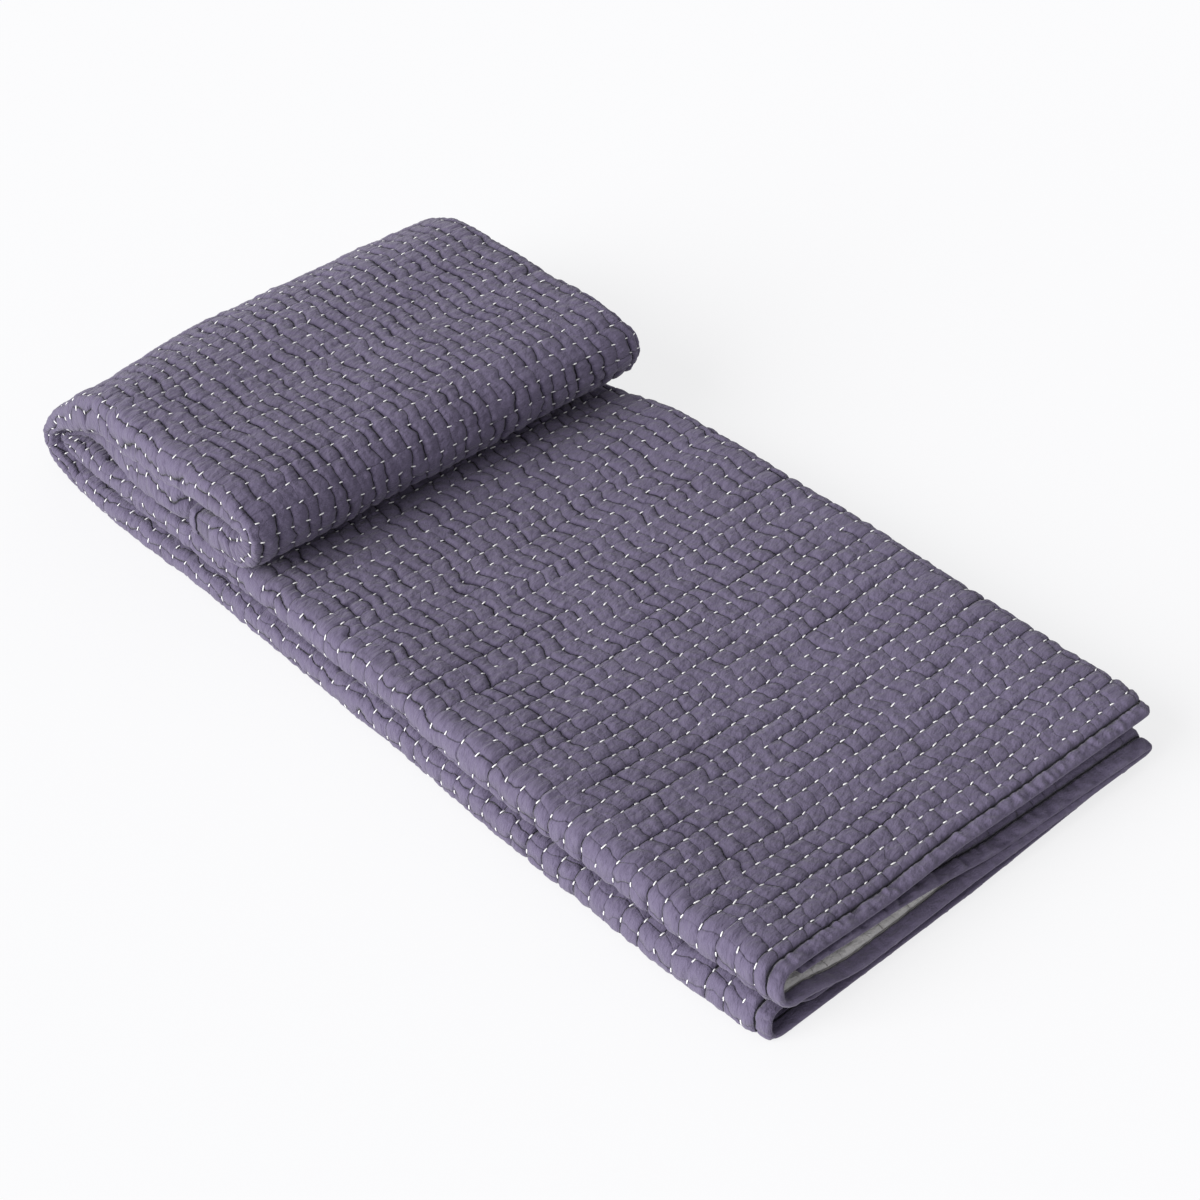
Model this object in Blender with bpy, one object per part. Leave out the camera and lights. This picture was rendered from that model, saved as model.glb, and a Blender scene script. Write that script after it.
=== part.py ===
"""Quilted throw: one cloth folded in five across its width, its far end turned back over the strip and tucked in.

The cloth lies on a surface at z = 0. Its hemmed near end faces +X, the two rounded folds of its left side face -Y,
and the part that is turned back lies towards -X.
"""

from collections import namedtuple

import bmesh
import bpy
import numpy as np

MM = 0.001
NEAR_EDGE_X = 0.4215  # where the hemmed near end lies
LEFT_SIDE_Y = -0.1911  # where the left side of the folded strip lies
STACK = 57.0  # depth of the five layers at the left side of the near end, in mm as all lengths below
SHEET_HALF = 3.0  # half of one quilted layer: two faces and the batting between them
SHEET_HALF_MIDDLE = 3.4  # the same before the middle of the stack is pressed flatter
HEM_DEPTH = 11.0
HEM_THINNING = 0.72  # a sewn hem is thinner than the cloth beside it
FREE_EDGE_RIGHT = 358.0  # the hemmed side that ends inside the right-hand folds
FREE_EDGE_LEFT = 25.0  # the hemmed side that ends inside the upper left-hand fold
STEPS_ACROSS = (0.0, 0.04, 0.10, 0.20, 0.33, 0.48, 0.64, 0.80, 0.92, 1.0)

# A row for each place along the folded strip, from the near end to the end that is tucked in.
# inner: the strip's top face; outer: its underside; middle, right: how far the stack is pressed flat there;
# settle: how low the layers lie at the right of the near end; recess: how far the upper left fold is drawn in;
# lift: how far the lower left fold opens there; left, bulge: how far the two sides wander;
# round_off: how far the left side is rounded off at the far turn; thin: a hem's thickness.
Station = namedtuple(
    "Station",
    "inner_l inner_z outer_l outer_z middle right settle recess lift left bulge round_off thin",
)
STATIONS = (
    Station(0, 56.0, 0, 0, 0.84, 0.90, 1.00, 0, 0, 2, -1, 0, HEM_THINNING),
    Station(HEM_DEPTH, 57.0, HEM_DEPTH, 0, 0.84, 0.91, 0.85, 0, 0, 0, 0, 0, HEM_THINNING),
    Station(17, 57.5, 17, 0, 0.85, 0.93, 0.70, 0, 0, -1, 0, 0, 1.0),
    Station(50, 57.5, 50, 0, 0.85, 0.95, 0.40, 0, 0, -3, 0, 0, 1.0),
    Station(105, 57.0, 105, 0, 0.86, 0.96, 0.00, 0, 0, -5, 0, 0, 1.0),
    Station(160, 57.5, 160, 0, 0.86, 0.96, 0.00, 0, 0, -6, -1, 0, 1.0),
    Station(215, 57.0, 215, 0, 0.86, 0.96, 0.00, 0, 0, -7, 0, 0, 1.0),
    Station(270, 57.0, 270, 0, 0.86, 0.96, 0.00, 0, 0, -6, 2, 0, 1.0),
    Station(325, 56.5, 325, 0, 0.86, 0.96, 0.00, 0, 0, -4, 3, 0, 1.0),
    Station(380, 56.0, 380, 0, 0.86, 0.96, 0.00, 0, 0, -2, 3, 0, 1.0),
    Station(435, 54.5, 435, 0, 0.88, 0.99, 0.00, 0, 0, -1, 2, 0, 1.0),
    Station(490, 52.0, 490, 0, 0.92, 1.02, 0.00, 0, 0, 0, 1, 0, 1.0),
    Station(545, 50.5, 545, 0, 0.95, 0.88, 0.00, 0, 0, 1, -6, 0, 1.0),
    Station(610, 49.5, 610, 0, 0.96, 0.80, 0.00, 0, 0, 0, -11, 0, 1.0),
    Station(680, 47.5, 680, 0, 0.96, 0.86, 0.00, 0, 0, 0, -8, 0, 1.0),
    Station(748, 45.0, 752, 0, 0.96, 0.94, 0.00, 0, 0, 0, -2, 0, 1.0),
    Station(785, 43.0, 790, 0, 0.96, 0.95, 0.00, 0, 0, 2, -2, 0, 1.0),
    Station(803, 41.5, 822, 6, 0.96, 0.96, 0.00, 0, 0, 3, -2, 0, 1.0),
    Station(812, 40.0, 842, 18, 0.96, 0.97, 0.00, 0, 2, 4, -2, 1, 1.0),
    Station(815.5, 39.5, 847, 34, 0.96, 0.98, 0.00, 3, 5, 4, -2, 3, 1.0),
    Station(813.5, 41.5, 841, 56, 0.97, 0.99, 0.00, 8, 9, 4, -2, 10, 1.0),
    Station(803, 43.5, 820, 81, 0.98, 0.99, 0.00, 10, 9, 4, -2, 17, 1.0),
    Station(783, 45.0, 792, 104, 0.99, 0.98, 0.00, 9, 7, 3, -2, 18, 1.0),
    Station(752, 46.5, 753, 117.5, 0.98, 0.97, 0.00, 5, 3, 2, -2, 11, 1.0),
    Station(708, 47.5, 710, 121, 0.98, 0.95, 0.00, 0, 3, 0, -3, 3, 1.0),
    Station(673, 49.5, 674, 121, 0.97, 0.95, 0.00, 0, 0, -1, -3, 0, 1.0),
    Station(650, 50.5, 651, 121.3, 0.97, 0.94, 0.00, 1, 0, -1, -4, 0, 1.0),
    Station(638, 55.0, 638, 121.7, 0.97, 0.94, 0.00, 6, 0, 0, -4, 0, 1.0),
    Station(631.5, 70.0, 630, 121.8, 0.97, 0.94, 0.00, 18, 8, 0, -4, 0, 1.0),
    Station(625, 86.0, 619, 122, 0.97, 0.94, 0.00, 28, 26, 0, -4, 0, 1.0),
    Station(600, 90.0, 597, 121.5, 0.97, 0.94, 0.00, 29, 28, 0, -3, 0, 1.0),
    Station(580, 90.5, 575, 119.5, 0.97, 0.94, 0.00, 29, 28, 1, -3, 0, 1.0),
    Station(568, 90.3, 556, 113, 0.97, 0.94, 0.00, 29, 28, 2, -1, 0, 1.0),
    Station(563.5, 89.6, 544, 101, 0.97, 0.94, 0.00, 29, 28, 3, 2, 0, 1.0),
    Station(562.5, 88.6, 540, 86, 0.97, 0.95, 0.00, 29, 28, 3, 2, 0, 1.0),
    Station(563.5, 87.8, 544, 70, 0.98, 0.97, 0.00, 29, 28, 2, 1, 0, 1.0),
    Station(569, 87.2, 557, 58, 0.98, 0.98, 0.00, 29, 28, 1, -1, 0, 1.0),
    Station(584, 87.0, 580, 53, 0.98, 0.98, 0.00, 29, 28, 0, -4, 0, 1.0),
    Station(605, 86.5, 606, 53, 0.98, 0.98, 0.00, 29, 28, 0, -7, 0, HEM_THINNING),
    Station(623, 83.0, 626, 56, 0.98, 0.98, 0.00, 29, 28, 1, -8, 0, HEM_THINNING),
)

# The layers from the strip's top to its underside. left, middle: each one's depth below the top face beside
# the left folds and away from them; settled: its depth at the near end, to which it sinks from one place
# across the strip to another; back_left, back_middle, back_right: how far its near edge lies back.
Layer = namedtuple("Layer", "left middle settled sinks_from sinks_to back_left back_middle back_right")
LAYERS = {
    "top": Layer(3.5, 4.5, 4.0, 150, 350, 4, 9, 3),
    "inner": Layer(13.5, 15.5, 36.2, 105, 230, 5, 5, -3),
    "turned": Layer(26.5, 28.5, 41.6, 14, 85, -4, -1, -3),
    "middle": Layer(33.0, 40.5, 48.2, 8, 42, 4, 4, 7),
    "floor": Layer(54.0, 53.6, 54.5, 150, 350, 0, 0, 5),
}

# The order in which the one cloth passes through the layers, from its hemmed side in the middle one.
ROUTE = ("middle", "floor", "top", "turned", "inner")

# Each fold of the cloth: its side, where across the strip it begins, its reach past that, how square it is
# (1 is an ellipse, less is squarer), how far back its near edge is drawn in halfway round it and its faces.
Fold = namedtuple("Fold", "side start reach square drawn_in steps")
FOLDS = {
    ("middle", "floor"): Fold("left", 8.0, 12.0, 0.62, 0.0, 6),
    ("floor", "top"): Fold("right", 372.0, 19.0, 0.55, 17.0, 8),
    ("top", "turned"): Fold("left", 16.0, 13.0, 0.66, 0.0, 6),
    ("turned", "inner"): Fold("right", 358.0, 9.0, 0.9, 0.0, 4),
}
CORNER_REACH = 16.0  # how much farther right the fold inside the others reaches at the near end


def smooth(x, start, end):
    """0 before start, 1 past end, and an even curve between them."""
    part = np.clip((x - start) / (end - start), 0.0, 1.0)
    return part * part * (3.0 - 2.0 * part)


def half_thickness(w, station):
    return (SHEET_HALF + (SHEET_HALF_MIDDLE - SHEET_HALF) * smooth(w, 10.0, 130.0)) * station.thin


def depth(layer, w, station):
    """How deep the middle of a layer lies below the strip's top face."""
    if layer == "floor":
        return STACK - half_thickness(w, station)
    row = LAYERS[layer]
    value = row.left + (row.middle - row.left) * smooth(w, 10.0, 130.0)
    value += (row.settled - value) * smooth(w, row.sinks_from, row.sinks_to) * station.settle
    if layer == "middle":
        value -= station.lift * (1.0 - smooth(w, 10.0, 26.0))
    return value


def fold_start(layer, following, station):
    """Where across the strip a fold begins."""
    fold = FOLDS[layer, following]
    return fold.start + (CORNER_REACH * station.settle if layer == "turned" else 0.0)


def bend(layer, following, station):
    """The fold between two layers, from the end of one to the start of the other."""
    fold = FOLDS[layer, following]
    begin = fold_start(layer, following, station)
    start, end = (depth(name, begin, station) for name in (layer, following))
    sign = -1.0 if fold.side == "left" else 1.0
    rows = []
    for step in range(1, fold.steps):
        angle = np.pi * step / fold.steps
        share = np.cos(angle)
        w = begin + sign * fold.reach * np.sin(angle) ** fold.square
        d = (start + end) / 2 + (start - end) / 2 * np.sign(share) * abs(share) ** fold.square
        pulled = back(layer, begin) + (back(following, begin) - back(layer, begin)) * step / fold.steps
        pulled += fold.drawn_in * np.sin(angle) ** 3
        rows.append((w, d, pulled, layer))
    return rows


def section(station):
    """The middle line of the cloth across the strip: points of w and depth, how far back each near edge
    lies, the points' normals and their layers."""
    starts = [FREE_EDGE_RIGHT]
    ends = []
    for pair in zip(ROUTE, ROUTE[1:]):
        starts.append(fold_start(*pair, station))
        ends.append(fold_start(*pair, station))
    ends.append(FREE_EDGE_LEFT)
    rows = []
    for place, (layer, start, end) in enumerate(zip(ROUTE, starts, ends)):
        for part in STEPS_ACROSS:
            w = start + (end - start) * part
            rows.append((w, depth(layer, w, station), back(layer, w), layer))
        if place + 1 < len(ROUTE):
            rows += bend(layer, ROUTE[place + 1], station)
    points = np.array([row[:2] for row in rows])
    run = np.gradient(points, axis=0)
    run /= np.linalg.norm(run, axis=1, keepdims=True)
    normals = np.column_stack([-run[:, 1], run[:, 0]])
    return points, normals, [row[2] for row in rows], [row[3] for row in rows]


def back(layer, w):
    """How far a layer's near edge lies back from the strip's end."""
    row = LAYERS[layer]
    return np.interp(w, (20.0, 190.0, 370.0), (row.back_left, row.back_middle, row.back_right))


def press(w, station):
    """How far the stack is pressed flat: not at all at its left side."""
    middle = 1.0 - (1.0 - station.middle) * smooth(w, 8.0, 130.0)
    return middle - (station.middle - station.right) * smooth(w, 230.0, 375.0)


def lay(w, d, pulled, layer, station):
    """A point of the section, w across and d deep, in the part's frame."""
    beside_left = 1.0 - smooth(w, 20.0, 140.0)
    upper = layer in ("top", "inner", "turned")
    across = w + ((station.recess if upper else 0.0) + station.left) * beside_left
    across += station.bulge * smooth(w, 300.0, 375.0)
    deep = d / STACK
    l = station.inner_l + (station.outer_l - station.inner_l) * deep
    l += pulled - station.round_off * beside_left
    z = (station.inner_z + (station.outer_z - station.inner_z) * deep) * press(w, station)
    return NEAR_EDGE_X - l * MM, LEFT_SIDE_Y + across * MM, max(z, 0.0) * MM


def ring(station, near):
    """The two faces of the cloth at one station; near is how much of the near end's unevenness is left."""
    points, normals, pulls, layers = section(station)
    stretch = np.hypot(station.inner_l - station.outer_l, station.inner_z - station.outer_z) / STACK
    faces = []
    for face in (1.0, -1.0):
        row = []
        for (w, d), (across, deep), pulled, layer in zip(points, normals, pulls, layers):
            half = half_thickness(w, station)
            side = w + face * across * half * min(1.0, stretch)
            row.append(lay(side, min(d + face * deep * half, STACK), near * pulled, layer, station))
        faces.append(row)
    return faces


def folded_cloth(name):
    """The cloth as one closed sheet, swept along the strip and folded across it."""
    mesh = bmesh.new()
    grid = []
    for place, station in enumerate(STATIONS):
        on_floor = place < 10
        near = 1.0 - smooth(station.inner_l, 0.0, 105.0) if on_floor else 0.0
        grid.append([[mesh.verts.new(spot) for spot in row] for row in ring(station, near)])
    for here, there in zip(grid, grid[1:]):
        for face in (0, 1):
            for i in range(len(here[face]) - 1):
                mesh.faces.new((here[face][i], here[face][i + 1], there[face][i + 1], there[face][i]))
        for i in (0, -1):
            mesh.faces.new((here[0][i], there[0][i], there[1][i], here[1][i]))
    for end in (grid[0], grid[-1]):
        for i in range(len(end[0]) - 1):
            mesh.faces.new((end[0][i], end[0][i + 1], end[1][i + 1], end[1][i]))
    bmesh.ops.recalc_face_normals(mesh, faces=mesh.faces)
    data = bpy.data.meshes.new(name)
    mesh.to_mesh(data)
    mesh.free()
    data.shade_smooth()
    cloth = bpy.data.objects.new(name, data)
    bpy.context.collection.objects.link(cloth)
    return cloth


def cotton(name, colour):
    material = bpy.data.materials.new(name)
    material.use_nodes = True
    shader = material.node_tree.nodes["Principled BSDF"]
    shader.inputs["Base Color"].default_value = (*colour, 1.0)
    shader.inputs["Roughness"].default_value = 0.9
    shader.inputs["Metallic"].default_value = 0.0
    return material


def main():
    for obj in list(bpy.data.objects):
        bpy.data.objects.remove(obj)
    throw = folded_cloth("throw")
    throw.data.materials.append(cotton("purple_cotton", (0.140, 0.124, 0.185)))


main()
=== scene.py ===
"""Quilted throw, folded in five across its width and turned back at its far end, on a pale studio floor."""

import math
from collections import namedtuple

import bmesh
import bpy
import numpy as np
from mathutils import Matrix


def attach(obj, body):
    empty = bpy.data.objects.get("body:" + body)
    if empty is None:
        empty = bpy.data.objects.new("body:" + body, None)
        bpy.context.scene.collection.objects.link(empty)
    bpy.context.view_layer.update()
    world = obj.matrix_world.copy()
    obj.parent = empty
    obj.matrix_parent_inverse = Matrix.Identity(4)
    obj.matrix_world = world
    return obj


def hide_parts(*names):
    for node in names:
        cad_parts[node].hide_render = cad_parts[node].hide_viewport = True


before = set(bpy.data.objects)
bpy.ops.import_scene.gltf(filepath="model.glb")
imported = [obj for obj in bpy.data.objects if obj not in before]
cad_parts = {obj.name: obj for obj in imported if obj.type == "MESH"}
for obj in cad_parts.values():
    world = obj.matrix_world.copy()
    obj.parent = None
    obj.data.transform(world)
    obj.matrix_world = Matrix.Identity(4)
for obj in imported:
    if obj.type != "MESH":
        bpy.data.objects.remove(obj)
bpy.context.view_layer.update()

bl_info = {
    "name": "Quilted throw",
    "version": (1, 0, 0),
    "blender": (4, 5, 0),
    "location": "View3D > Sidebar > Throw",
    "description": "Models a folded quilted throw with its stitches, hems and studio",
    "category": "Object",
}

# Where the strip's near edge and its left side lie, in metres
NEAR_EDGE_X = 0.4215
LEFT_SIDE_Y = -0.1911

# The cloth's own lengths are in mm, as on a sewing pattern, and become metres when a mesh is made
MM = 0.001
STACK = 57.0
SHEET_HALF = 3.0
SHEET_HALF_MIDDLE = 3.4
BESIDE = 0.7
HEM_WIDTH = 11.0
HEM_THINNING = 0.72
FREE_EDGE_RIGHT = 358.0
FREE_EDGE_LEFT = 25.0
CORNER_REACH = 16.0

# The camera looks 40 degrees down along the strip, from beyond its near left corner, in metres and degrees
CAMERA_PLACE = (NEAR_EDGE_X + 0.6930, LEFT_SIDE_Y - 0.7924, 1.2495)
CAMERA_DOWN, CAMERA_TURN = 40.0, 47.3
WINDOW_STRENGTH, WINDOW_WIDTH, WINDOW_HEIGHT, WINDOW_TURN = 4.2, 50.0, 24.0, -12.0
SKY_COLOUR, SKY_STRENGTH = "#fbfbff", 0.5

# The undyed side darker down in its puckers as painted shade, where washing has paled it, and darkest along a
# nearly closed crease as painted shade
REVERSE_SHADE_AND_WASH = ("#aaa7a5", "#d2d0cd", "#8d8a88")

# Where the stitched rows lie, and the rows at which the cloth's pieces meet
FIRST_ROW = 21.5
HEM_ROW, STRIP_ROW, UNDER_ROW, TURN_ROW, ROLL_ROW = 2, 18, 35, 48, 62

# The strip's stations, from the near end to the tucked end, as in the part
Station = namedtuple(
    "Station",
    "inner_l inner_z outer_l outer_z middle right settle recess lift left bulge round_off",
)
STATIONS = (
    Station(0, 56.0, 0, 0, 0.84, 0.90, 1.00, 0, 0, 2, -1, 0),
    Station(11, 57.0, 11, 0, 0.84, 0.91, 0.85, 0, 0, 0, 0, 0),
    Station(17, 57.5, 17, 0, 0.85, 0.93, 0.70, 0, 0, -1, 0, 0),
    Station(50, 57.5, 50, 0, 0.85, 0.95, 0.40, 0, 0, -3, 0, 0),
    Station(105, 57.0, 105, 0, 0.86, 0.96, 0.00, 0, 0, -5, 0, 0),
    Station(160, 57.5, 160, 0, 0.86, 0.96, 0.00, 0, 0, -6, -1, 0),
    Station(215, 57.0, 215, 0, 0.86, 0.96, 0.00, 0, 0, -7, 0, 0),
    Station(270, 57.0, 270, 0, 0.86, 0.96, 0.00, 0, 0, -6, 2, 0),
    Station(325, 56.5, 325, 0, 0.86, 0.96, 0.00, 0, 0, -4, 3, 0),
    Station(380, 56.0, 380, 0, 0.86, 0.96, 0.00, 0, 0, -2, 3, 0),
    Station(435, 54.5, 435, 0, 0.88, 0.99, 0.00, 0, 0, -1, 2, 0),
    Station(490, 52.0, 490, 0, 0.92, 1.02, 0.00, 0, 0, 0, 1, 0),
    Station(545, 50.5, 545, 0, 0.95, 0.88, 0.00, 0, 0, 1, -6, 0),
    Station(610, 49.5, 610, 0, 0.96, 0.80, 0.00, 0, 0, 0, -11, 0),
    Station(680, 47.5, 680, 0, 0.96, 0.86, 0.00, 0, 0, 0, -8, 0),
    Station(748, 45.0, 752, 0, 0.96, 0.94, 0.00, 0, 0, 0, -2, 0),
    Station(785, 43.0, 790, 0, 0.96, 0.95, 0.00, 0, 0, 2, -2, 0),
    Station(803, 41.5, 822, 6, 0.96, 0.96, 0.00, 0, 0, 3, -2, 0),
    Station(812, 40.0, 842, 18, 0.96, 0.97, 0.00, 0, 2, 4, -2, 1),
    Station(815.5, 39.5, 847, 34, 0.96, 0.98, 0.00, 3, 5, 4, -2, 3),
    Station(813.5, 41.5, 841, 56, 0.97, 0.99, 0.00, 8, 9, 4, -2, 10),
    Station(803, 43.5, 820, 81, 0.98, 0.99, 0.00, 10, 9, 4, -2, 17),
    Station(783, 45.0, 792, 104, 0.99, 0.98, 0.00, 9, 7, 3, -2, 18),
    Station(752, 46.5, 753, 117.5, 0.98, 0.97, 0.00, 5, 3, 2, -2, 11),
    Station(708, 47.5, 710, 121, 0.98, 0.95, 0.00, 0, 3, 0, -3, 3),
    Station(673, 49.5, 674, 121, 0.97, 0.95, 0.00, 0, 0, -1, -3, 0),
    Station(650, 50.5, 651, 121.3, 0.97, 0.94, 0.00, 1, 0, -1, -4, 0),
    Station(638, 55.0, 638, 121.7, 0.97, 0.94, 0.00, 6, 0, 0, -4, 0),
    Station(631.5, 70.0, 630, 121.8, 0.97, 0.94, 0.00, 18, 8, 0, -4, 0),
    Station(625, 86.0, 619, 122, 0.97, 0.94, 0.00, 28, 26, 0, -4, 0),
    Station(600, 90.0, 597, 121.5, 0.97, 0.94, 0.00, 29, 28, 0, -3, 0),
    Station(580, 90.5, 575, 119.5, 0.97, 0.94, 0.00, 29, 28, 1, -3, 0),
    Station(568, 90.3, 556, 113, 0.97, 0.94, 0.00, 29, 28, 2, -1, 0),
    Station(563.5, 89.6, 544, 101, 0.97, 0.94, 0.00, 29, 28, 3, 2, 0),
    Station(562.5, 88.6, 540, 86, 0.97, 0.95, 0.00, 29, 28, 3, 2, 0),
    Station(563.5, 87.8, 544, 70, 0.98, 0.97, 0.00, 29, 28, 2, 1, 0),
    Station(569, 87.2, 557, 58, 0.98, 0.98, 0.00, 29, 28, 1, -1, 0),
    Station(584, 87.0, 580, 53, 0.98, 0.98, 0.00, 29, 28, 0, -4, 0),
    Station(605, 86.5, 606, 53, 0.98, 0.98, 0.00, 29, 28, 0, -7, 0),
    Station(623, 83.0, 626, 56, 0.98, 0.98, 0.00, 29, 28, 1, -8, 0),
)

Layer = namedtuple("Layer", "left middle settled sinks_from sinks_to back_left back_middle back_right")
LAYERS = {
    "top": Layer(3.5, 4.5, 4.0, 150, 350, 4, 9, 3),
    "inner": Layer(13.5, 15.5, 36.2, 105, 230, 5, 5, -3),
    "turned": Layer(26.5, 28.5, 41.6, 14, 85, -4, -1, -3),
    "middle": Layer(33.0, 40.5, 48.2, 8, 42, 4, 4, 7),
    "floor": Layer(54.0, 53.6, 54.5, 150, 350, 0, 0, 5),
}
ROUTE = ("middle", "floor", "top", "turned", "inner")
Fold = namedtuple("Fold", "side start reach square drawn_in length")
FOLDS = {
    ("middle", "floor"): Fold("left", 8.0, 12.0, 0.62, 0.0, 40.0),
    ("floor", "top"): Fold("right", 372.0, 19.0, 0.55, 17.0, 77.0),
    ("top", "turned"): Fold("left", 16.0, 13.0, 0.66, 0.0, 38.0),
    ("turned", "inner"): Fold("right", 358.0, 9.0, 0.9, 0.0, 24.0),
}

# Creases pressed into the strip when it was folded smaller: where along or across the cloth, and how deep
PRESSED_ACROSS = ((180.0, 0.25), (228.0, 0.25), (372.0, 0.7))
PRESSED_LENGTHWISE = ((1143.0, 0.45), (1083.0, 0.35))

# How a line of quilting sinks into the wadding: its sloping sides, its narrow cut and the cut's width
ROW_VALLEY = (1.15, 0.6, 1.3)
PUCKER_VALLEY = (1.05, 0.6, 1.4)
ROLL_BEGINS = (760.0, 860.0)

# A knot of the quilting thread on top of the roll
KNOT_S, KNOT_T = 1112.0, 1184.0
KNOT_LENGTH, KNOT_WIDTH, KNOT_RAISED = 3.4, 1.3, 0.8
STITCH_RAISED = 0.55

# Stretches of cloth inside the folds, whose stitches never show: from and to across it and along it
INSIDE_FOLDS = (
    (420.0, 740.0, 0.0, 800.0),
    (850.0, 1170.0, 590.0, math.inf),
    (-math.inf, 318.0, 60.0, math.inf),
    (1240.0, math.inf, 60.0, math.inf),
)

# The unevenness of work by hand, one number for each row or stitch
ROWS = 84
STITCHES = 168
BEFORE_FIRST = 8
chance = np.random.default_rng(27)
ROW_SHIFT = np.cumsum(chance.uniform(-0.3, 0.3, ROWS))
STITCH_SHIFT = chance.uniform(-0.10, 0.10, (ROWS, STITCHES))
STITCH_LENGTH = chance.uniform(0.75, 1.2, (ROWS, STITCHES))
STITCH_TILT = chance.uniform(-0.22, 0.22, (ROWS, STITCHES))
CREASE_DEPTH = np.clip(chance.normal(0.78, 0.3, (ROWS, STITCHES)), 0.1, 1.3)
CREASE_BOW = chance.uniform(-1.0, 1.0, (ROWS, STITCHES))
CELL_TILT = chance.uniform(-1.0, 1.0, (ROWS, STITCHES))
CLOUD = chance.uniform(-1.0, 1.0, (128, 128))


def smooth(x, start, end):
    """0 before start, 1 past end, and an even curve between them."""
    part = np.clip((x - start) / (end - start), 0.0, 1.0)
    return part * part * (3.0 - 2.0 * part)


def noise(x, y):
    """Soft random hills from -1 to 1, a unit apart."""
    x, y = np.broadcast_arrays(np.asarray(x, float), np.asarray(y, float))
    i, j = np.floor(x).astype(int), np.floor(y).astype(int)
    a, b = x - i, y - j
    a, b = a * a * (3 - 2 * a), b * b * (3 - 2 * b)
    near = CLOUD[i % 128, j % 128] * (1 - a) + CLOUD[(i + 1) % 128, j % 128] * a
    far = CLOUD[i % 128, (j + 1) % 128] * (1 - a) + CLOUD[(i + 1) % 128, (j + 1) % 128] * a
    return near * (1 - b) + far * b


def curve_through(xs, ys, x):
    """A smooth curve through the points that never swings past them."""
    step = np.diff(xs)
    slope = np.diff(ys) / step
    lean = np.zeros(len(xs))
    inner = slope[:-1] * slope[1:] > 0
    weight_a = 2 * step[1:] + step[:-1]
    weight_b = step[1:] + 2 * step[:-1]
    with np.errstate(divide="ignore", invalid="ignore"):
        mean = (weight_a + weight_b) / (weight_a / slope[:-1] + weight_b / slope[1:])
    lean[1:-1] = np.where(inner, mean, 0.0)
    lean[0], lean[-1] = slope[0], slope[-1]
    i = np.clip(np.searchsorted(xs, x) - 1, 0, len(xs) - 2)
    t = (x - xs[i]) / step[i]
    return (
        ys[i] * (1 + 2 * t) * (1 - t) ** 2
        + lean[i] * step[i] * t * (1 - t) ** 2
        + ys[i + 1] * t * t * (3 - 2 * t)
        + lean[i + 1] * step[i] * t * t * (t - 1)
    )


STATION_ROWS = np.array(STATIONS, float)
RUN = np.concatenate([[0.0], np.cumsum(np.hypot(*np.diff(STATION_ROWS[:, 2:4], axis=0).T))])
STRIP_LENGTH = RUN[-1]

# Places in from an edge that draw its hem and the sewn groove beside it
HEM_STEPS = (0.0, 0.3, 0.8, 1.5, 2.4, 3.5, 4.8, 6.2, 7.6, 8.8, 9.7)
GROOVE_STEPS = (10.3, 10.8, 11.3, 11.9, 12.7, 13.8, 15.1, 16.6, 18.2, 19.8)
TUCKED_HEM_STEPS = (11.6, 11.0, 10.0, 6.0, 2.0, 0.7, 0.0)


def stations_at(t):
    """The strip's shape at lengths t along its outer face."""
    return Station(*(curve_through(RUN, column, t) for column in STATION_ROWS.T))


Stretch = namedtuple("Stretch", "layer following start end")


def stretches():
    """The layers and folds in the order the cloth passes through them, with their places across it."""
    found = []
    at = 0.0
    starts = [FREE_EDGE_RIGHT] + [fold.start for fold in FOLDS.values()]
    ends = [fold.start for fold in FOLDS.values()] + [FREE_EDGE_LEFT]
    for place, layer in enumerate(ROUTE):
        length = abs(ends[place] - starts[place])
        found.append(Stretch(layer, None, at, at + length))
        at += length
        if place + 1 < len(ROUTE):
            following = ROUTE[place + 1]
            found.append(Stretch(layer, following, at, at + FOLDS[layer, following].length))
            at += FOLDS[layer, following].length
    return found


STRETCHES = stretches()
CLOTH_WIDTH = STRETCHES[-1].end

# Steps across the cloth for its pieces: the first place, then each band's end and the step in it
STRIP_STEPS = (
    700.0,
    (740.0, 5.0),
    (754.0, 2.0),
    (828.0, 1.6),
    (1184.0, 1.42),
    (1222.0, 1.5),
    (1234.0, 2.4),
    (1290.0, 6.0),
)
UNDER_STEPS = (
    700.0,
    (750.0, 6.0),
    (828.0, 1.8),
    (850.0, 4.0),
    (1150.0, 12.0),
    (1176.0, 3.0),
    (1222.0, 1.6),
    (1240.0, 3.0),
    (1290.0, 8.0),
)
ROLL_INNER_STEPS = (
    844.0,
    (850.0, 3.0),
    (1150.0, 12.0),
    (1176.0, 3.0),
    (1222.0, 1.6),
    (1240.0, 3.0),
    (1290.0, 8.0),
)
UNDERSIDE_STEPS = (290.0, (320.0, 6.0), (345.0, 2.4), (396.0, 1.6), (420.0, 3.0), (700.0, 12.0))
ROLL_OUTER_STEPS = (290.0, (320.0, 6.0), (345.0, 2.4), (740.0, 1.45), (828.0, 1.7), (844.0, 4.0))
UPPER_EDGE_STEPS = (
    700.0,
    (754.0, 2.6),
    (828.0, 1.5),
    (1184.0, 1.5),
    (1222.0, 1.5),
    (1564.0, 1.9),
    (1588.0, 1.6),
    (1908.0, 1.9),
    (CLOTH_WIDTH - 2, 1.2),
    (CLOTH_WIDTH, 0.7),
)
LOWER_EDGE_STEPS = (0.0, (2.0, 0.7), (12.0, 1.5), (345.0, 3.0), (396.0, 1.5), (700.0, 3.0))
CORE_UPPER_STEPS = (
    1290.0,
    (1564.0, 8.0),
    (1588.0, 3.0),
    (1908.0, 8.0),
    (CLOTH_WIDTH - 2, 2.5),
    (CLOTH_WIDTH, 1.0),
)
CORE_LOWER_STEPS = (0.0, (2.0, 1.0), (12.0, 3.0), (290.0, 8.0))


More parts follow.
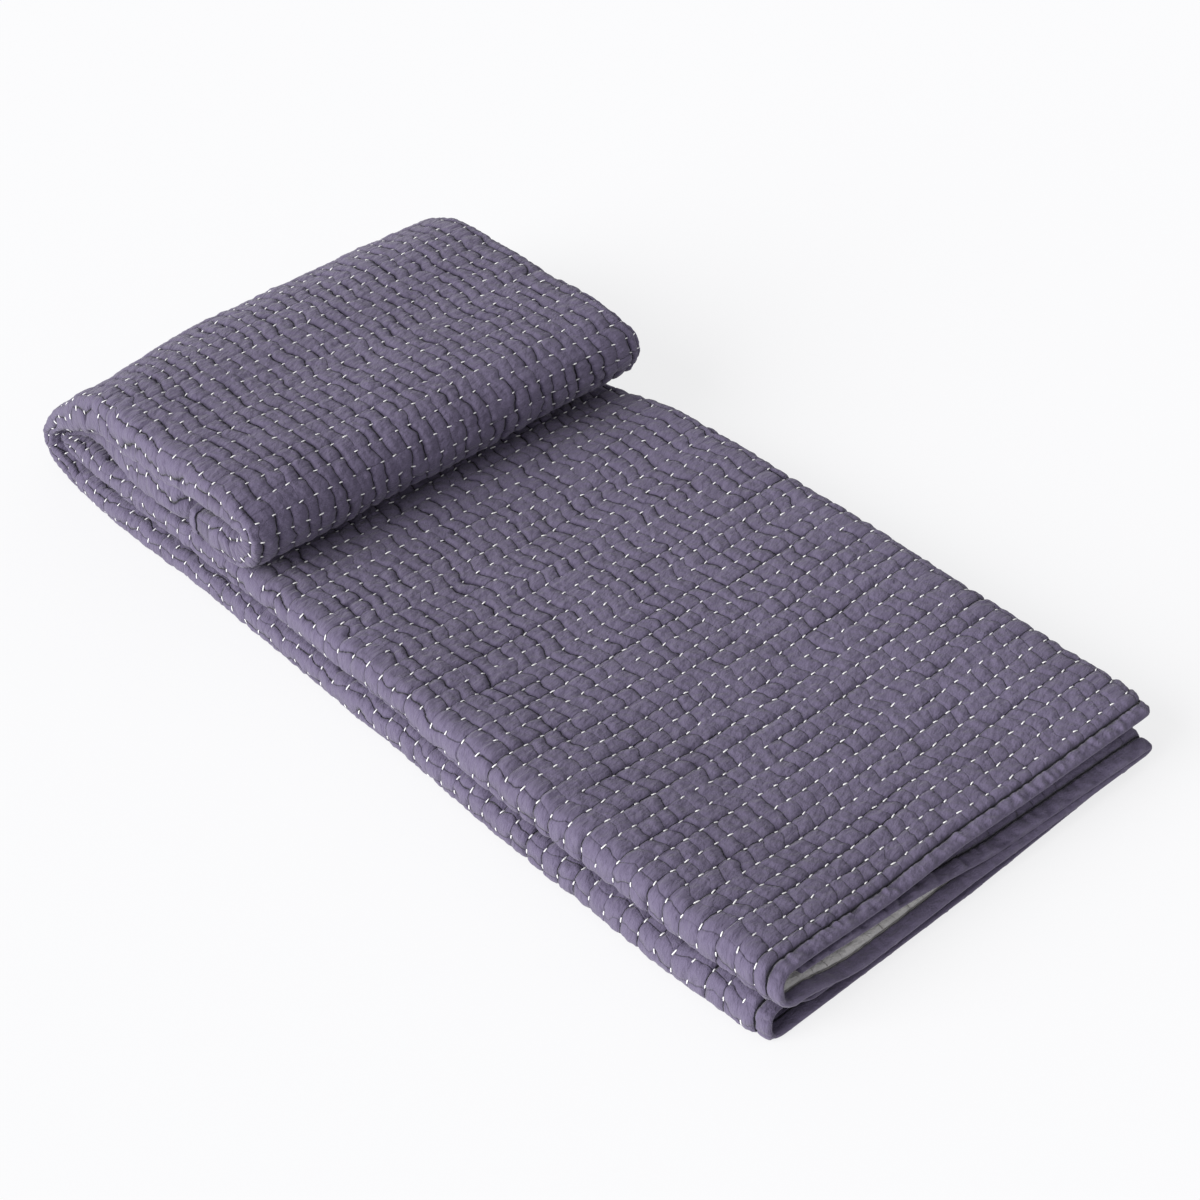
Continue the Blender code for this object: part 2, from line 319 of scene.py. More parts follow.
def edge_distance(s, t):
    """How far a point of the cloth is from its nearest hemmed edge."""
    return np.minimum(np.minimum(s, CLOTH_WIDTH - s), np.minimum(t, STRIP_LENGTH - t))


def half_thickness(w, edge):
    """Half the cloth's thickness: thinner in the hem and rounded off at its very edge."""
    half = SHEET_HALF + (SHEET_HALF_MIDDLE - SHEET_HALF) * smooth(w, 10.0, 130.0)
    half = half * (HEM_THINNING + (1.0 - HEM_THINNING) * smooth(edge, HEM_WIDTH, HEM_WIDTH + 5.0))
    return half * np.sqrt(1.0 - (1.0 - np.clip(edge / 2.6, 0.03, 1.0)) ** 2)


def depth(layer, w, station, edge):
    """How deep the middle of a layer lies below the strip's top face."""
    if layer == "floor":
        return STACK - half_thickness(w, np.maximum(edge, 2.6))
    row = LAYERS[layer]
    value = row.left + (row.middle - row.left) * smooth(w, 10.0, 130.0)
    value = value + (row.settled - value) * smooth(w, row.sinks_from, row.sinks_to) * station.settle
    if layer == "middle":
        value = value - station.lift * (1.0 - smooth(w, 10.0, 26.0))
    return value


def back(layer, w):
    """How far a layer's near edge lies back from the strip's end."""
    row = LAYERS[layer]
    return np.interp(w, (20.0, 190.0, 370.0), (row.back_left, row.back_middle, row.back_right))


def fold_start(layer, following, station):
    """Where a fold begins across the strip. The turned layer's corner is drawn in at the near end."""
    reach = CORNER_REACH * station.settle if layer == "turned" else 0.0
    return FOLDS[layer, following].start + reach


def middle_line(s, station, edge):
    """The cloth's middle across one station of the strip.

    Gives its places across, its depths, how far back its near edge lies, and 1 where it is an upper layer.
    """
    w, d, pulled, upper = (np.zeros(len(s)) for _ in range(4))
    begins = [FREE_EDGE_RIGHT] + [fold_start(*pair, station) for pair in FOLDS]
    finishes = [fold_start(*pair, station) for pair in FOLDS] + [FREE_EDGE_LEFT]
    for place, stretch in enumerate(STRETCHES):
        own = (s >= stretch.start) & (s <= stretch.end)
        part = (s[own] - stretch.start) / (stretch.end - stretch.start)
        if stretch.following is None:
            begin, finish = begins[place // 2], finishes[place // 2]
            w[own] = begin + (finish - begin) * part
            d[own] = depth(stretch.layer, w[own], station, edge[own])
            pulled[own] = back(stretch.layer, w[own])
        else:
            fold = FOLDS[stretch.layer, stretch.following]
            begin = fold_start(stretch.layer, stretch.following, station)
            first = depth(stretch.layer, begin, station, edge[own])
            last = depth(stretch.following, begin, station, edge[own])
            sine, share = np.sin(np.pi * part), np.cos(np.pi * part)
            sign = -1.0 if fold.side == "left" else 1.0
            w[own] = begin + sign * fold.reach * sine**fold.square
            d[own] = (first + last) / 2 + (first - last) / 2 * np.sign(share) * abs(share) ** fold.square
            before, after = back(stretch.layer, begin), back(stretch.following, begin)
            pulled[own] = before + (after - before) * part + fold.drawn_in * sine**3
        upper[own] = stretch.layer in ("top", "turned", "inner")
    return w, d, pulled, upper


def press(w, station):
    """How far the stack is pressed flat: not at all at its left side."""
    middle = 1.0 - (1.0 - station.middle) * smooth(w, 8.0, 130.0)
    return middle - (station.middle - station.right) * smooth(w, 230.0, 375.0)


def lay(w, d, pulled, upper, station):
    """Points w across and d deep, in the part's frame and in mm."""
    beside_left = 1.0 - smooth(w, 20.0, 140.0)
    across = w + (station.recess * upper + station.left) * beside_left
    across = across + station.bulge * smooth(w, 300.0, 375.0)
    deep = d / STACK
    along = station.inner_l + (station.outer_l - station.inner_l) * deep
    along = along + pulled - station.round_off * beside_left
    z = (station.inner_z + (station.outer_z - station.inner_z) * deep) * press(w, station)
    return np.column_stack([NEAR_EDGE_X / MM - along, LEFT_SIDE_Y / MM + across, z])


def faces_of_cloth(s, t):
    """The cloth's face and reverse before it is quilted, as grids of points: a row for each t."""
    shape = stations_at(t)
    face, reverse = np.empty((2, len(t), len(s), 3))
    for i, length in enumerate(t):
        station = Station(*(column[i] for column in shape))
        edge = edge_distance(s, length)
        w, d, pulled, upper = middle_line(s, station, edge)
        pulled = pulled * (1.0 - smooth(length, 0.0, 105.0))
        run_w, run_d = np.gradient(w, s), np.gradient(d, s)
        size = np.hypot(run_w, run_d)
        half = half_thickness(w, edge)
        stack = np.hypot(station.inner_l - station.outer_l, station.inner_z - station.outer_z)
        stretch = min(1.0, stack / STACK)
        for side, grid in ((1.0, face), (-1.0, reverse)):
            out_w = w - side * run_d / size * half * stretch
            out_d = np.minimum(d + side * run_w / size * half, STACK)
            grid[i] = lay(out_w, out_d, pulled, upper, station)
    return face, reverse


def normals_of(grid, towards):
    """Unit normals of a grid of points, on the side that towards points to."""
    found = np.cross(np.gradient(grid, axis=0), np.gradient(grid, axis=1))
    found /= np.maximum(np.linalg.norm(found, axis=2, keepdims=True), 1e-9)
    return np.where((found * towards).sum(axis=2, keepdims=True) < 0, -found, found)


def dome(x):
    """A puffed cell's rise, from 0 at its stitched edge to 1 at its middle."""
    return 1.0 - (1.0 - np.clip(x, 0.0, 1.0)) ** 2.4


def wander(s, t):
    """How far the quilting's rows stray from straight."""
    return 1.1 * noise(s / 46.0, t / 33.0 + 61.0) + 0.4 * noise(s / 15.0, t / 15.8 + 11.0)


def stitch_place(row, number, pitch):
    """Where along its row a stitch lies."""
    return (ROW_SHIFT[row] + number - BEFORE_FIRST + STITCH_SHIFT[row, number]) * pitch


def valley(distance, half_width, slope, cut, cut_width):
    """How deep the cloth sinks at a distance from a line of quilting."""
    return slope * (1 - dome(distance / half_width)) + cut * np.exp(-((distance / cut_width) ** 2))


Puckers = namedtuple("Puckers", "lines distance signed strength tilt dimple")


def puckers_near(s, t, row, part, nearest, from_row, gap):
    """The three puckers round each place, which run from stitch to stitch, and how the closest one lies."""
    ease = part * part * (3 - 2 * part)
    shift = ROW_SHIFT[row] * (1 - ease) + ROW_SHIFT[row + 1] * ease
    middle = np.round(s / gap - shift).astype(int) + BEFORE_FIRST
    waver = 1.3 * noise(s / 9.0, t / 5.5 + 31.0)
    distance = np.full(s.shape, 99.0)
    signed, strength, tilt, dimple = s * 0, s * 0, s * 0, s * 0
    lines = []
    for change in (-1, 0, 1):
        number = np.clip(middle + change, 0, STITCHES - 1)
        start = stitch_place(row, number, gap)
        end = stitch_place(row + 1, number, gap)
        bow = CREASE_BOW[row, number] * 1.9 * np.sin(np.pi * part)
        line = start + (end - start) * ease + bow + waver
        lines.append(line)
        closer = abs(s - line) < distance
        distance = np.where(closer, abs(s - line), distance)
        signed = np.where(closer, s - line, signed)
        strength = np.where(closer, CREASE_DEPTH[row, number], strength)
        tilt = np.where(closer, CELL_TILT[row, number], tilt)
        along = s - stitch_place(nearest, number, gap)
        trough = 1 - smooth(abs(along), 2.2, 4.2)
        dimple = np.maximum(dimple, trough * np.exp(-((from_row / 1.5) ** 2)))
    return Puckers(lines, distance, signed, strength, tilt, dimple)


def channel_depth(s, t, nearest, sizes):
    """How deep the nearest row's channel is: uneven along it, and deeper where the strip was once folded."""
    pitch = sizes.row_pitch / MM
    weight = 1.1 - 0.55 * smooth(t, 200.0, 400.0) - 0.15 * smooth(t, *ROLL_BEGINS)
    channel = np.clip(0.6 + 0.75 * noise(s / 31.0, nearest * 3.7), 0.05, 1.2) * weight
    for across, pressed in PRESSED_ACROSS:
        own = abs(row_place(nearest - 1, sizes) - across) < pitch / 2
        channel = channel + own * pressed * smooth(noise(s / 60.0, s * 0 + across), -0.6, 0.2)
    return channel


def pucker_depth(s, t, strength):
    """How deep a pucker is: less near the hemmed end, and more where the strip was once folded lengthwise."""
    strength = strength * (0.62 + 0.5 * smooth(t, 160.0, 400.0) + 0.2 * smooth(t, *ROLL_BEGINS))
    for lengthwise, pressed in PRESSED_LENGTHWISE:
        strength = strength + pressed * np.exp(-(((s - lengthwise) / 6.5) ** 2))
    return strength


def hem_band(s, t, edge):
    """How high the hem stands: a soft roll with short wrinkles across it, which ends flat at its edge."""
    along = np.where(edge == np.minimum(t, STRIP_LENGTH - t), s, t)
    band = 0.8 * (1 - (2 * edge / HEM_WIDTH - 1) ** 2) + 1.3 * noise(along / 4.4, edge / 9.0 + 40.0)
    return (band + 0.8 * noise(along / 2.4, edge / 5.0 + 17.0)) * smooth(edge, 0.0, 2.0)


def quilting(s, t, sizes):
    """How high the quilted face stands at cloth places s, t, with its puffs, channels, puckers and hems.

    Also where each place lies between two puckers and between two rows, as turns of a circle, and how
    deep its pucker and its channel are, from which the cloth's material draws their sharp creases as bumps
    and as thin lines of painted shade.
    """
    pitch, gap = sizes.row_pitch / MM, sizes.stitch_pitch / MM
    s, t = np.meshgrid(s, t)
    rows = (t + wander(s, t) - FIRST_ROW) / pitch + 1.0
    row = np.clip(np.floor(rows).astype(int), 0, ROWS - 2)
    part = np.clip(rows - row, 0.0, 1.0)
    nearest = np.where(part < 0.5, row, row + 1)
    from_row = pitch * np.minimum(part, 1.0 - part)
    puckers = puckers_near(s, t, row, part, nearest, from_row, gap)
    channel = channel_depth(s, t, nearest, sizes)
    strength = pucker_depth(s, t, puckers.strength)
    height = -channel * valley(from_row, pitch / 2, *ROW_VALLEY)
    height -= strength * valley(puckers.distance, gap / 2, *PUCKER_VALLEY)
    height += 0.5 * puckers.tilt * np.clip(puckers.signed / (gap / 2), -1, 1) * np.sin(np.pi * part)
    height -= 0.6 * puckers.dimple
    height += 0.3 * noise(s / 3.3, t / 3.1) + 0.5 * noise((s + t) / 9.0, (s - t) / 4.2)
    height = height * sizes.puff + 1.15
    before, middle, after = puckers.lines
    left = np.where(s >= middle, middle, before)
    right = np.where(s >= middle, after, middle)
    turn = 2 * np.pi * np.clip((s - left) / np.maximum(right - left, 1.0), 0.0, 1.0)
    row_turn = 2 * np.pi * rows
    turns = np.stack([np.sin(turn), np.cos(turn), np.sin(row_turn), np.cos(row_turn)], axis=2)
    edge = edge_distance(s, t)
    inside_hem = smooth(edge, HEM_WIDTH, HEM_WIDTH + 2.0)
    depths = np.stack([strength * inside_hem, channel * inside_hem, edge], axis=2)
    band = hem_band(s, t, edge)
    height = band + (height - band) * smooth(edge, HEM_WIDTH - 0.6, HEM_WIDTH + 3.5)
    groove = 1.3 * np.exp(-(((edge - HEM_WIDTH) / 0.85) ** 2))
    return height - groove, turns, depths


def unevenness(s, t):
    """The cloth's slow waves, which lift both its faces."""
    s, t = np.meshgrid(s, t)
    slow = 0.9 * noise(s / 75.0, t / 90.0 + 20.0) + 0.55 * noise(s / 31.0 + 9.0, t / 38.0)
    return slow * smooth(edge_distance(s, t), 0.0, 40.0)


def spread(*bands):
    """Places along the cloth: from the first number on, each (end, step) band in even steps near its step."""
    found = [bands[0]]
    for end, step in bands[1:]:
        start = found[-1]
        count = max(1, round((end - start) / step))
        found += [start + (end - start) * (i + 1) / count for i in range(count)]
    return np.array(found)


def row_place(row, sizes):
    """Where along the strip a stitched row lies."""
    return FIRST_ROW + row * sizes.row_pitch / MM


def last_row(sizes):
    """The last stitched row before the hem of the tucked end."""
    return int((STRIP_LENGTH - HEM_WIDTH - 3.0 - FIRST_ROW) / (sizes.row_pitch / MM))


def between_rows(first, last, steps, sizes):
    """Places along the strip from one stitched row to another, with a place on every row."""
    start = row_place(first, sizes)
    end = row_place(last, sizes)
    return np.linspace(start, end, (last - first) * steps + 1)


def near_hem(sizes):
    """Places along the strip from its near edge through the hem to where the strip's pieces begin."""
    return np.concatenate([HEM_STEPS, GROOVE_STEPS, between_rows(0, HEM_ROW, 11, sizes)])


def to_tucked_end(first, steps, sizes):
    """Places along the strip from a stitched row to the tucked end and through its hem."""
    rows = between_rows(first, last_row(sizes), steps, sizes)
    hem = [STRIP_LENGTH - back for back in TUCKED_HEM_STEPS]
    return np.concatenate([rows, [place for place in hem if place > rows[-1] + 1.0]])


def grid_faces(rows, columns):
    """The four-sided faces of a grid of points."""
    corner = np.arange(rows - 1)[:, None] * columns + np.arange(columns - 1)[None, :]
    return np.stack([corner, corner + 1, corner + columns + 1, corner + columns], axis=2).reshape(-1, 4)


def coarse_back(rows, columns, stride):
    """The faces of the hidden side: wide cells, whose outer ones keep every point of the border."""
    across = sorted({*range(0, columns - 1, stride), columns - 1})
    along = sorted({*range(0, rows - 1, stride), rows - 1})
    faces = []
    for low, high in zip(along, along[1:]):
        for left, right in zip(across, across[1:]):
            bottom = range(left, right) if low == 0 else (left,)
            side = range(low, high) if right == columns - 1 else (low,)
            top = range(right, left, -1) if high == rows - 1 else (right,)
            other = range(high, low, -1) if left == 0 else (high,)
            cell = [(low, c) for c in bottom] + [(r, right) for r in side]
            cell += [(high, c) for c in top] + [(r, left) for r in other]
            faces.append([r * columns + c for r, c in cell])
    return faces


def shell_faces(rows, columns, stride):
    """A closed cloth piece's faces: its outer side, its hidden side and the walls round its border."""
    lift = rows * columns
    outer = grid_faces(rows, columns).tolist()
    hidden = [[lift + i for i in reversed(cell)] for cell in coarse_back(rows, columns, stride)]
    border = list(range(columns - 1))
    border += [r * columns + columns - 1 for r in range(rows - 1)]
    border += [(rows - 1) * columns + c for c in range(columns - 1, 0, -1)]
    border += [r * columns for r in range(rows - 1, 0, -1)]
    walls = [[b, a, a + lift, b + lift] for a, b in zip(border, border[1:] + border[:1])]
    return outer, hidden, walls


# What the stitches need of each cloth piece to lie on it: its places, its face and its normals
Cloth = namedtuple("Cloth", "s t face normal")
cloths = []


def cloth_piece(name, s, t, stride, sizes, materials):
    """One closed stretch of the cloth, quilted, with its place on the flat cloth as its UV map."""
    # A line of places beyond each border gives the border its neighbour's normals
    low_s, high_s = max(s[0] - BESIDE, 0.0), min(s[-1] + BESIDE, CLOTH_WIDTH)
    low_t, high_t = max(t[0] - BESIDE, 0.0), min(t[-1] + BESIDE, STRIP_LENGTH)
    wide_s = np.unique(np.concatenate([[low_s], s, [high_s]]))
    wide_t = np.unique(np.concatenate([[low_t], t, [high_t]]))
    face, reverse = faces_of_cloth(wide_s, wide_t)
    outward = face - reverse
    out = normals_of(face, outward)
    inward = normals_of(reverse, -outward)
    wave = unevenness(wide_s, wide_t)[..., None]
    height, turns, depths = quilting(wide_s, wide_t, sizes)
    face = face + out * (height[..., None] + wave)
    # The reverse shows only in the upper folds' mouth, whose piece keeps all its places on both sides
    under = height * 0.6 if stride == 1 else height * 0.0
    reverse = reverse + inward * under[..., None] + out * wave
    first_s, first_t = int(low_s < s[0]), int(low_t < t[0])
    cut = (slice(first_t, first_t + len(t)), slice(first_s, first_s + len(s)))
    face, reverse, out, height = face[cut], reverse[cut], out[cut], height[cut]
    turns, depths = turns[cut].reshape(-1, 4), depths[cut].reshape(-1, 3)
    # No cloth lies below the floor
    face[..., 2] = np.maximum(face[..., 2], 0.0)
    reverse[..., 2] = np.maximum(reverse[..., 2], 0.4)
    outer, hidden, walls = shell_faces(len(t), len(s), stride)
    points = np.concatenate([face.reshape(-1, 3), reverse.reshape(-1, 3)]) * MM
    mesh = bpy.data.meshes.new(name)
    mesh.from_pydata(points.tolist(), [], outer + hidden + walls)
    flat = np.stack(np.meshgrid(s, t), axis=2).reshape(-1, 2) * MM
    flat = np.concatenate([flat, flat])
    loops = np.empty(len(mesh.loops), np.int32)
    mesh.loops.foreach_get("vertex_index", loops)
    mesh.uv_layers.new(name="cloth").data.foreach_set("uv", flat[loops].astype(np.float32).ravel())
    relief = np.concatenate([height.ravel(), np.full(height.size, 0.4)]).astype(np.float32)
    mesh.attributes.new("relief", "FLOAT", "POINT").data.foreach_set("value", relief)
    turns, depths = (np.concatenate([values, values]).astype(np.float32) for values in (turns, depths))
    mesh.attributes.new("turns", "FLOAT_COLOR", "POINT").data.foreach_set("color", turns.ravel())
    mesh.attributes.new("depths", "FLOAT_VECTOR", "POINT").data.foreach_set("vector", depths.ravel())
    for material in materials:
        mesh.materials.append(material)
    # Inside the hems the hidden side is the pale reverse, but the lower folds' mouth keeps the purple face
    # there as painted shade, standing in for the white lying in deep shadow
    edge = edge_distance(*np.meshgrid(s, t)).ravel()
    slots = np.zeros(len(mesh.polygons), np.int32)
    for i in range(len(outer), len(outer) + len(hidden)):
        own = np.array(mesh.polygons[i].vertices) - len(s) * len(t)
        slots[i] = int(edge[own].mean() > HEM_WIDTH and name != "near_lower")
    mesh.polygons.foreach_set("material_index", slots)
    work = bmesh.new()
    work.from_mesh(mesh)
    loose = [v for v in work.verts if not v.link_faces]
    bmesh.ops.delete(work, geom=loose, context="VERTS")
    bmesh.ops.recalc_face_normals(work, faces=work.faces)
    work.to_mesh(mesh)
    work.free()
    mesh.shade_smooth()
    obj = bpy.data.objects.new(name, mesh)
    bpy.context.scene.collection.objects.link(obj)
    cloths.append(Cloth(s, t, face, out))
    return obj


def linear(text):
    """An sRGB hex colour as linear red, green, blue and a full alpha."""
    channels = [int(text[i : i + 2], 16) / 255 for i in (1, 3, 5)]
    return (*[c / 12.92 if c <= 0.04045 else ((c + 0.055) / 1.055) ** 2.4 for c in channels], 1.0)


def node(tree, kind, settings=None, **links):
    """Adds a node of this kind with its settings, and joins or sets each named input."""
    made = tree.nodes.new(kind)
    for name, value in (settings or {}).items():
        setattr(made, name, value)
    for name, value in links.items():
        socket = made.inputs[int(name[1:])] if name[0] == "i" and name[1:].isdigit() else made.inputs[name]
        if isinstance(value, bpy.types.NodeSocket):
            tree.links.new(value, socket)
        else:
            socket.default_value = value
    return made


def quilted_cotton(name, colour, crease, bloom, shade):
    """Washed plain-weave cotton: matt and a little fuzzy, with painted shade that keeps it paler on the puffs
    and darker down in the puckers.

    Each pucker, channel and hem seam has a sharp crease, which the wadding holds nearly closed; it is
    drawn as a bump and as a thin dark line of painted shade.
    """
    material = bpy.data.materials.new(name)
    material.use_nodes = True
    tree = material.node_tree
    shader = tree.nodes["Principled BSDF"]
    place = node(tree, "ShaderNodeUVMap", {"uv_map": "cloth"}).outputs[0]
    relief = node(tree, "ShaderNodeAttribute", {"attribute_name": "relief"}).outputs["Fac"]
    turns = node(tree, "ShaderNodeAttribute", {"attribute_name": "turns"})
    depths = node(tree, "ShaderNodeAttribute", {"attribute_name": "depths"})
    turn = node(tree, "ShaderNodeSeparateColor", Color=turns.outputs["Color"]).outputs
    deep = node(tree, "ShaderNodeSeparateXYZ", Vector=depths.outputs["Vector"]).outputs
    # The puckers' creases, then the rows', each drawn where its turn of the circle comes round
    creases = []
    for side, beside, depth_of, width in (
        (turn[0], turn[1], deep[0], 0.42),
        (turn[2], turns.outputs["Alpha"], deep[1], 0.3),
    ):
        away = node(tree, "ShaderNodeMath", {"operation": "ABSOLUTE"}, i0=side).outputs[0]
        line = node(tree, "ShaderNodeMapRange", Value=away, i1=width, i2=0.0, i3=0.0, i4=1.0).outputs[0]
        line = node(tree, "ShaderNodeMath", {"operation": "POWER"}, i0=line, i1=1.7).outputs[0]
        here = node(tree, "ShaderNodeMapRange", Value=beside, i1=0.0, i2=0.3).outputs[0]
        line = node(tree, "ShaderNodeMath", {"operation": "MULTIPLY"}, i0=line, i1=here).outputs[0]
        line = node(tree, "ShaderNodeMath", {"operation": "MULTIPLY"}, i0=line, i1=depth_of).outputs[0]
        creases.append(line)
    seam = node(tree, "ShaderNodeMath", {"operation": "SUBTRACT"}, i0=deep[2], i1=HEM_WIDTH).outputs[0]
    seam = node(tree, "ShaderNodeMath", {"operation": "ABSOLUTE"}, i0=seam).outputs[0]
    seam = node(tree, "ShaderNodeMapRange", Value=seam, i1=1.0, i2=0.2, i3=0.0, i4=1.3).outputs[0]
    lines = node(tree, "ShaderNodeMath", {"operation": "MAXIMUM"}, i0=creases[0], i1=creases[1]).outputs[0]
    lines = node(tree, "ShaderNodeMath", {"operation": "MAXIMUM"}, i0=lines, i1=seam).outputs[0]
    # Thread spacing is about 0.45 mm, drawn at 1.1 mm so that it shows in the render
    weave = node(tree, "ShaderNodeTexNoise", Vector=place, Scale=900.0, Detail=2.0, Roughness=0.6).outputs[0]
    slub = node(tree, "ShaderNodeMapping", Vector=place, Scale=(1.0, 5.0, 1.0)).outputs[0]
    slubs = node(tree, "ShaderNodeTexNoise", Vector=slub, Scale=150.0, Detail=3.0, Roughness=0.6).outputs[0]
    wash = node(tree, "ShaderNodeTexNoise", Vector=place, Scale=14.0, Detail=4.0, Roughness=0.6).outputs[0]
    high = node(
        tree,
        "ShaderNodeMapRange",
        {"interpolation_type": "SMOOTHSTEP"},
        Value=relief,
        i1=-1.4,
        i2=1.1,
        i3=0.0,
        i4=1.0,
    ).outputs[0]
    mix = {"data_type": "RGBA"}
    # Painted shade: the face darkens towards the crease colour down in the puckers and channels and stays
    # paler on the puffs
    relief_shaded_colour = node(tree, "ShaderNodeMix", mix, Factor=high, i6=linear(crease), i7=linear(colour)).outputs[2]
    faded = node(tree, "ShaderNodeMapRange", Value=wash, i1=0.35, i2=0.7, i3=0.0, i4=0.28).outputs[0]
    faded = node(tree, "ShaderNodeMix", mix, Factor=faded, i6=relief_shaded_colour, i7=linear(bloom)).outputs[2]
    fleck = node(tree, "ShaderNodeMapRange", Value=slubs, i1=0.35, i2=0.65, i3=0.93, i4=1.07).outputs[0]
    fleck = node(tree, "ShaderNodeCombineColor", Red=fleck, Green=fleck, Blue=fleck).outputs[0]
    multiply = {"data_type": "RGBA", "blend_type": "MULTIPLY"}
    tinted = node(tree, "ShaderNodeMix", multiply, Factor=1.0, i6=faded, i7=fleck).outputs[2]
    # Painted shade: a thin dark line along each pucker, channel and hem seam
    shade_line_mask = node(tree, "ShaderNodeMapRange", Value=lines, i1=0.1, i2=0.75, i3=0.0, i4=0.92).outputs[0]
    line_shaded_colour = node(tree, "ShaderNodeMix", mix, Factor=shade_line_mask, i6=tinted, i7=linear(shade)).outputs[2]
    tree.links.new(line_shaded_colour, shader.inputs["Base Color"])
    invert = {"invert": True}
    folded = node(tree, "ShaderNodeBump", invert, Strength=0.8, Distance=0.0012, Height=lines).outputs[0]
    # Wrinkles of 5 to 10 mm, as washing leaves them
    wrinkle = node(
        tree, "ShaderNodeMapping", Vector=place, Rotation=(0, 0, 0.8), Scale=(1.0, 1.9, 1.0)
    ).outputs[0]
    wrinkles = node(
        tree, "ShaderNodeTexNoise", Vector=wrinkle, Scale=95.0, Detail=4.0, Roughness=0.55
    ).outputs[0]
    rough = node(
        tree, "ShaderNodeBump", Strength=1.0, Distance=0.0038, Height=wrinkles, Normal=folded
    ).outputs[0]
    woven = node(
        tree, "ShaderNodeBump", Strength=0.5, Distance=0.0004, Height=weave, Normal=rough
    ).outputs[0]
    tree.links.new(woven, shader.inputs["Normal"])
    shader.inputs["Roughness"].default_value = 0.92
    shader.inputs["Specular IOR Level"].default_value = 0.25
    shader.inputs["Sheen Weight"].default_value = 0.18
    shader.inputs["Sheen Roughness"].default_value = 0.5
    return material


def cotton_thread(name, colour, roughness):
    """Twisted cotton thread: pale, soft and slightly lustrous."""
    material = bpy.data.materials.new(name)
    material.use_nodes = True
    tree = material.node_tree
    shader = tree.nodes["Principled BSDF"]
    place = node(tree, "ShaderNodeTexCoord").outputs["Object"]
    # The thread's twist, about 1 mm a turn, shows only as a faint unevenness
    twist = node(tree, "ShaderNodeTexNoise", Vector=place, Scale=1100.0, Detail=2.0).outputs[0]
    shade = node(tree, "ShaderNodeMapRange", Value=twist, i1=0.3, i2=0.7, i3=0.94, i4=1.0).outputs[0]
    shade = node(tree, "ShaderNodeCombineColor", Red=shade, Green=shade, Blue=shade).outputs[0]
    multiply = {"data_type": "RGBA", "blend_type": "MULTIPLY"}
    tinted = node(tree, "ShaderNodeMix", multiply, Factor=1.0, i6=linear(colour), i7=shade).outputs[2]
    tree.links.new(tinted, shader.inputs["Base Color"])
    bumped = node(tree, "ShaderNodeBump", Strength=0.4, Distance=0.0002, Height=twist).outputs[0]
    tree.links.new(bumped, shader.inputs["Normal"])
    shader.inputs["Roughness"].default_value = roughness
    shader.inputs["Sheen Weight"].default_value = 0.2
    return material


def hex_of(colour):
    """A colour property's sRGB hex text."""
    return "#" + "".join(f"{round(c * 255):02x}" for c in colour)


def as_property(text):
    """An sRGB hex text as a colour property's three numbers."""
    return tuple(int(text[i : i + 2], 16) / 255 for i in (1, 3, 5))


def opal_acrylic(colour):
    """Cast acrylic sheet, matt and milky, lit from behind: the shadows on it almost vanish."""
    material = bpy.data.materials.new("opal_acrylic")
    material.use_nodes = True
    tree = material.node_tree
    shader = tree.nodes["Principled BSDF"]
    place = node(tree, "ShaderNodeTexCoord").outputs["Object"]
    grain = node(tree, "ShaderNodeTexNoise", Vector=place, Scale=3.0, Detail=3.0).outputs[0]
    shader.inputs["Base Color"].default_value = linear(colour)
    rough = node(tree, "ShaderNodeMapRange", Value=grain, i3=0.85, i4=0.95).outputs[0]
    tree.links.new(rough, shader.inputs["Roughness"])
    shader.inputs["Specular IOR Level"].default_value = 0.1
    shader.inputs["Emission Color"].default_value = (1.0, 1.0, 1.0, 1.0)
    shader.inputs["Emission Strength"].default_value = 0.76
    return material


def deselect():
    for obj in bpy.context.selected_objects:
        obj.select_set(False)


def surface(cloth, s, t):
    """Points of a cloth piece's face and their normals, at cloth places s, t."""
    i = np.clip(np.searchsorted(cloth.s, s) - 1, 0, len(cloth.s) - 2)
    j = np.clip(np.searchsorted(cloth.t, t) - 1, 0, len(cloth.t) - 2)
    a = ((s - cloth.s[i]) / (cloth.s[i + 1] - cloth.s[i]))[:, None]
    b = ((t - cloth.t[j]) / (cloth.t[j + 1] - cloth.t[j]))[:, None]
    found = []
    for grid in (cloth.face, cloth.normal):
        before = grid[j, i] * (1 - a) + grid[j, i + 1] * a
        after = grid[j + 1, i] * (1 - a) + grid[j + 1, i + 1] * a
        found.append(before * (1 - b) + after * b)
    return found


def inside(cloth, s, t):
    """Which of the cloth places s, t a piece covers."""
    found = (s >= cloth.s[0]) & (s <= cloth.s[-1])
    return found & (t >= cloth.t[0]) & (t < cloth.t[-1])


def copies_of(model, name, places, ups, alongs, lengths, widths, material):
    """One mesh of many copies of a small model, each laid on the cloth, turned and sized for its place."""
    shape = np.array([v.co for v in model.data.vertices])
    # A sphere's faces come in another order each run, so each starts at its lowest corner and all are sorted
    cells = []
    for polygon in model.data.polygons:
        corners = list(polygon.vertices)
        lowest = corners.index(min(corners))
        cells.append(corners[lowest:] + corners[:lowest])
    cells.sort()
    sides = np.cross(ups, alongs)
    points = places[:, None, :] + (
        shape[None, :, 0:1] * lengths[:, None, None] * alongs[:, None, :]
        + shape[None, :, 1:2] * widths[:, None, None] * sides[:, None, :]
        + shape[None, :, 2:3] * widths[:, None, None] * ups[:, None, :]
    )
    faces = [[n * len(shape) + v for v in cell] for n in range(len(places)) for cell in cells]
    mesh = bpy.data.meshes.new(name)
    mesh.from_pydata((points.reshape(-1, 3) * MM).tolist(), [], faces)
    mesh.materials.append(material)
    mesh.shade_smooth()
    obj = bpy.data.objects.new(name, mesh)
    bpy.context.scene.collection.objects.link(obj)
    return obj


